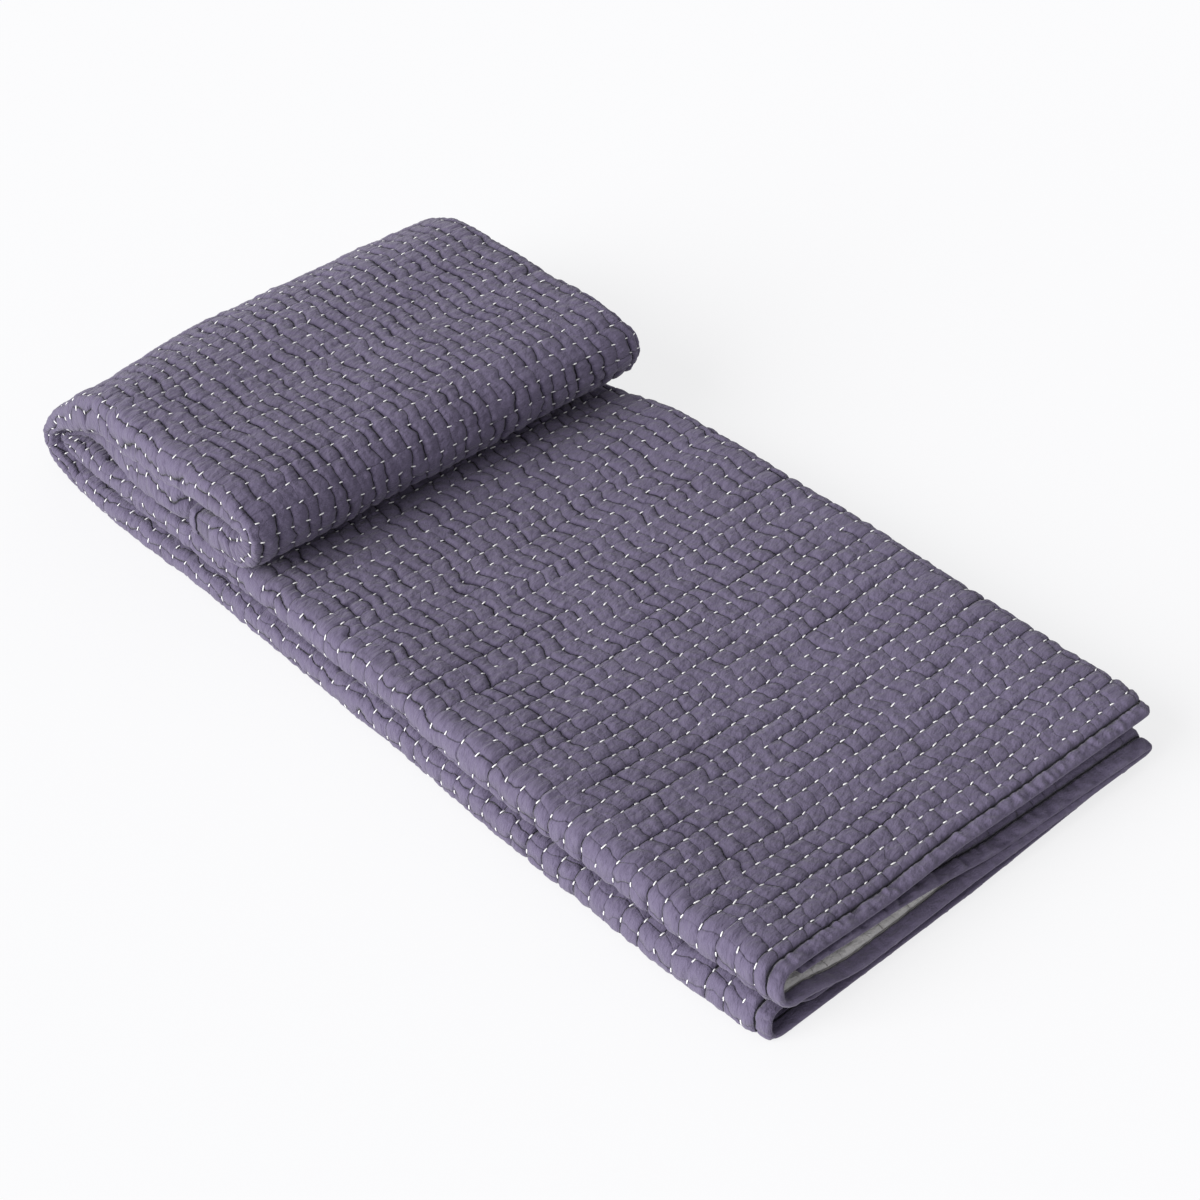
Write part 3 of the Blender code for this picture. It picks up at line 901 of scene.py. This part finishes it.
def thread_model():
    """One stitch: a short thread with blunt ends that dive into the cloth, 1 long and 1 wide."""
    deselect()
    bpy.ops.mesh.primitive_uv_sphere_add(segments=5, ring_count=4, radius=0.5)
    model = bpy.context.object
    bpy.ops.transform.rotate(value=math.pi / 2, orient_axis="Y", center_override=(0, 0, 0))
    bpy.ops.object.transform_apply(location=False, rotation=True, scale=False)
    dive = 0.35
    for vertex in model.data.vertices:
        reach = abs(vertex.co.x) * 2
        rounder = math.sqrt(max(0.0, 1 - reach**4)) / max(0.2, math.sqrt(max(0.0, 1 - reach**2)))
        vertex.co.y *= rounder
        vertex.co.z = vertex.co.z * rounder - dive * reach**4
    return model


# Half the length over which a thread's direction on the cloth is measured
HALF_THREAD = 1.6


def lay_on_cloth(s, t, tilt):
    """Places, normals and directions on the cloth for threads at s, t, and which of them lie on a piece."""
    places, ups, alongs = np.zeros((3, len(s), 3))
    found = np.zeros(len(s), bool)
    for cloth in cloths:
        own = inside(cloth, s, t) & ~found
        if not own.any():
            continue
        place, up = surface(cloth, s[own], t[own])
        ahead, _ = surface(cloth, np.clip(s[own] + HALF_THREAD, cloth.s[0], cloth.s[-1]), t[own])
        behind, _ = surface(cloth, np.clip(s[own] - HALF_THREAD, cloth.s[0], cloth.s[-1]), t[own])
        along = ahead - behind
        along /= np.linalg.norm(along, axis=1, keepdims=True)
        up -= along * (up * along).sum(axis=1, keepdims=True)
        up /= np.linalg.norm(up, axis=1, keepdims=True)
        turn = tilt[own][:, None]
        along = along * np.cos(turn) + np.cross(up, along) * np.sin(turn)
        places[own], ups[own], alongs[own] = place, up, along
        found |= own
    return places, ups, alongs, found


def settle_piece(obj):
    """Every piece is part of the one cloth."""
    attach(obj, "root")


class ThrowSizes(bpy.types.PropertyGroup):
    """The quilting's sizes."""

    row_pitch: bpy.props.FloatProperty(
        name="Row spacing",
        description="From one stitched row to the next",
        default=0.0158,
        min=0.01,
        max=0.04,
        unit="LENGTH",
    )
    stitch_pitch: bpy.props.FloatProperty(
        name="Stitch spacing",
        description="From one stitch to the next in a row",
        default=0.0133,
        min=0.008,
        max=0.03,
        unit="LENGTH",
    )
    stitch_length: bpy.props.FloatProperty(
        name="Stitch length",
        description="The thread that shows in one stitch",
        default=0.0049,
        min=0.002,
        max=0.008,
        unit="LENGTH",
    )
    thread: bpy.props.FloatProperty(
        name="Thread",
        description="Thickness of the quilting thread",
        default=0.0011,
        min=0.0003,
        max=0.002,
        unit="LENGTH",
    )
    puff: bpy.props.FloatProperty(
        name="Puff",
        description="How strongly the cells between the stitches stand up",
        default=1.0,
        min=0.2,
        max=2.0,
        subtype="FACTOR",
    )


class ThrowColours(bpy.types.PropertyGroup):
    """The throw's colours, as sRGB."""

    face: bpy.props.FloatVectorProperty(
        name="Face",
        description="The cloth's outer side",
        subtype="COLOR_GAMMA",
        size=3,
        min=0,
        max=1,
        default=as_property("#635b72"),
    )
    # Painted shade: the colour the face darkens to down in its puckers
    crease: bpy.props.FloatVectorProperty(
        name="Creases",
        description="The face down in its puckers",
        subtype="COLOR_GAMMA",
        size=3,
        min=0,
        max=1,
        default=as_property("#433c50"),
    )
    bloom: bpy.props.FloatVectorProperty(
        name="Wash",
        description="The face where washing has paled it",
        subtype="COLOR_GAMMA",
        size=3,
        min=0,
        max=1,
        default=as_property("#706882"),
    )
    # Painted shade: the dark colour drawn along each nearly closed crease
    shade: bpy.props.FloatVectorProperty(
        name="Shut creases",
        description="The face where a crease is nearly closed",
        subtype="COLOR_GAMMA",
        size=3,
        min=0,
        max=1,
        default=as_property("#1b1724"),
    )
    reverse: bpy.props.FloatVectorProperty(
        name="Reverse",
        description="The cloth's inner side",
        subtype="COLOR_GAMMA",
        size=3,
        min=0,
        max=1,
        default=as_property("#e6e4e1"),
    )
    stitches: bpy.props.FloatVectorProperty(
        name="Quilting thread",
        description="The running stitches",
        subtype="COLOR_GAMMA",
        size=3,
        min=0,
        max=1,
        default=as_property("#fffffd"),
    )
    floor: bpy.props.FloatVectorProperty(
        name="Floor",
        description="The studio floor",
        subtype="COLOR_GAMMA",
        size=3,
        min=0,
        max=1,
        default=as_property("#7c7c7e"),
    )


class THROW_OT_cloth(bpy.types.Operator):
    """Lays the quilted cloth in its folds."""

    bl_idname = "throw.cloth"
    bl_label = "Quilted cloth"

    def execute(self, context):
        sizes, colours = context.scene.throw_sizes, context.scene.throw_colours
        tones = (colours.face, colours.crease, colours.bloom, colours.shade)
        face = quilted_cotton("washed_purple_cotton", *(hex_of(tone) for tone in tones))
        reverse = quilted_cotton("undyed_cotton", hex_of(colours.reverse), *REVERSE_SHADE_AND_WASH)
        near = near_hem(sizes)
        long = np.concatenate(
            [between_rows(HEM_ROW, TURN_ROW, 2, sizes), to_tucked_end(TURN_ROW, 2, sizes)[1:]]
        )
        # Each piece's steps across the cloth, its places along it, and how much coarser its hidden side is
        parts = (
            ("near_upper", UPPER_EDGE_STEPS, near, 1),
            ("near_lower", LOWER_EDGE_STEPS, near, 2),
            ("strip_near", STRIP_STEPS, between_rows(HEM_ROW, STRIP_ROW, 10, sizes), 6),
            ("strip_far", STRIP_STEPS, between_rows(STRIP_ROW, UNDER_ROW, 10, sizes), 6),
            ("strip_under", UNDER_STEPS, between_rows(UNDER_ROW, TURN_ROW, 8, sizes), 4),
            ("roll_inner", ROLL_INNER_STEPS, to_tucked_end(TURN_ROW, 8, sizes), 4),
            ("underside", UNDERSIDE_STEPS, between_rows(HEM_ROW, TURN_ROW, 9, sizes), 6),
            ("roll_turn", ROLL_OUTER_STEPS, between_rows(TURN_ROW, ROLL_ROW, 10, sizes), 6),
            ("roll_top", ROLL_OUTER_STEPS, to_tucked_end(ROLL_ROW, 10, sizes), 6),
            ("core_upper", CORE_UPPER_STEPS, long, 2),
            ("core_lower", CORE_LOWER_STEPS, long, 2),
        )
        for name, steps, t, stride in parts:
            s = spread(*steps)
            obj = cloth_piece(name, s, t, stride, sizes, (face, reverse))
            settle_piece(obj)
            # Flat, the piece is as wide as the cloth it covers, and as long as its area then allows
            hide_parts("throw")
        return {"FINISHED"}


class THROW_OT_stitches(bpy.types.Operator):
    """Sews the quilting's running stitches into the cloth's face."""

    bl_idname = "throw.stitches"
    bl_label = "Running stitches"

    def execute(self, context):
        sizes, colours = context.scene.throw_sizes, context.scene.throw_colours
        thread = cotton_thread("white_cotton_thread", hex_of(colours.stitches), 0.6)
        rows = np.arange(1, last_row(sizes) + 2)
        row, number = (grid.ravel() for grid in np.meshgrid(rows, np.arange(STITCHES), indexing="ij"))
        s = stitch_place(row, number, sizes.stitch_pitch / MM)
        t = row_place(row - 1, sizes) - wander(s, row_place(row - 1, sizes))
        # No stitches in the hems or where the folds hide them
        hidden = (s < HEM_WIDTH + 3) | (s > CLOTH_WIDTH - HEM_WIDTH - 3) | (t > STRIP_LENGTH - HEM_WIDTH - 5)
        for left, right, start, end in INSIDE_FOLDS:
            hidden |= (s > left) & (s < right) & (t > start) & (t < end)
        s, t, row, number = s[~hidden], t[~hidden], row[~hidden], number[~hidden]
        places, ups, alongs, found = lay_on_cloth(s, t, STITCH_TILT[row, number])
        lengths = STITCH_LENGTH[row, number] * sizes.stitch_length / MM
        widths = np.full(len(s), sizes.thread / MM)
        places = places + ups * STITCH_RAISED
        laid = [values[found] for values in (places, ups, alongs, lengths, widths)]
        model = thread_model()
        settle_piece(copies_of(model, "running_stitches", *laid, thread))
        # The knot is three short turns of thread, one across the other
        s = KNOT_S + np.array([0.0, 0.7, -0.5])
        places, ups, alongs, found = lay_on_cloth(s, np.full(3, KNOT_T), np.array([0.5, -0.9, 1.7]))
        places = places + ups * KNOT_RAISED
        lengths, widths = np.full(3, KNOT_LENGTH), np.full(3, KNOT_WIDTH)
        settle_piece(copies_of(model, "thread_knot", places, ups, alongs, lengths, widths, thread))
        bpy.data.objects.remove(model)
        return {"FINISHED"}


class THROW_OT_studio(bpy.types.Operator):
    """Sets up the pale floor, the soft light and the camera."""

    bl_idname = "throw.studio"
    bl_label = "Studio"

    def execute(self, context):
        scene = context.scene
        deselect()
        bpy.ops.mesh.primitive_plane_add(size=14, location=(0, 0, -0.0004))
        floor = context.object
        floor.name = "floor"
        floor.data.materials.append(opal_acrylic(hex_of(scene.throw_colours.floor)))
        world = bpy.data.worlds.new("studio")
        world.use_nodes = True
        world.node_tree.nodes["Background"].inputs["Color"].default_value = linear(SKY_COLOUR)
        world.node_tree.nodes["Background"].inputs["Strength"].default_value = SKY_STRENGTH
        scene.world = world
        # Soft light from the throw's left, so wide that it hardly throws a shadow
        window = bpy.data.lights.new("window", "SUN")
        window.energy, window.angle = WINDOW_STRENGTH, math.radians(WINDOW_WIDTH)
        lamp = bpy.data.objects.new("window", window)
        lamp.rotation_euler = (math.radians(90.0 - WINDOW_HEIGHT), 0.0, math.radians(WINDOW_TURN))
        scene.collection.objects.link(lamp)
        camera = bpy.data.objects.new("camera", bpy.data.cameras.new("camera"))
        camera.data.lens, camera.data.sensor_width = 75.0, 36.0
        camera.data.sensor_fit = "HORIZONTAL"
        camera.data.clip_start = 0.05
        camera.location = CAMERA_PLACE
        camera.rotation_euler = (math.radians(90.0 - CAMERA_DOWN), 0.0, math.radians(CAMERA_TURN))
        scene.collection.objects.link(camera)
        scene.camera = camera
        scene.view_settings.view_transform = "Standard"
        return {"FINISHED"}


class THROW_PT_panel(bpy.types.Panel):
    """Lists the throw's sizes and colours, and the buttons that build it."""

    bl_idname = "THROW_PT_panel"
    bl_label = "Quilted throw"
    bl_space_type = "VIEW_3D"
    bl_region_type = "UI"
    bl_category = "Throw"

    def draw(self, context):
        for group in (context.scene.throw_sizes, context.scene.throw_colours):
            for name in group.__annotations__:
                self.layout.prop(group, name)
        for operator in OPERATORS:
            self.layout.operator(operator.bl_idname)


OPERATORS = (THROW_OT_cloth, THROW_OT_stitches, THROW_OT_studio)
CLASSES = (ThrowSizes, ThrowColours, *OPERATORS, THROW_PT_panel)


def register():
    for cls in CLASSES:
        bpy.utils.register_class(cls)
    bpy.types.Scene.throw_sizes = bpy.props.PointerProperty(type=ThrowSizes)
    bpy.types.Scene.throw_colours = bpy.props.PointerProperty(type=ThrowColours)


def unregister():
    del bpy.types.Scene.throw_sizes
    del bpy.types.Scene.throw_colours
    for cls in reversed(CLASSES):
        bpy.utils.unregister_class(cls)


def main():
    register()
    bpy.ops.throw.studio()
    bpy.ops.throw.cloth()
    bpy.ops.throw.stitches()


if __name__ == "__main__":
    main()
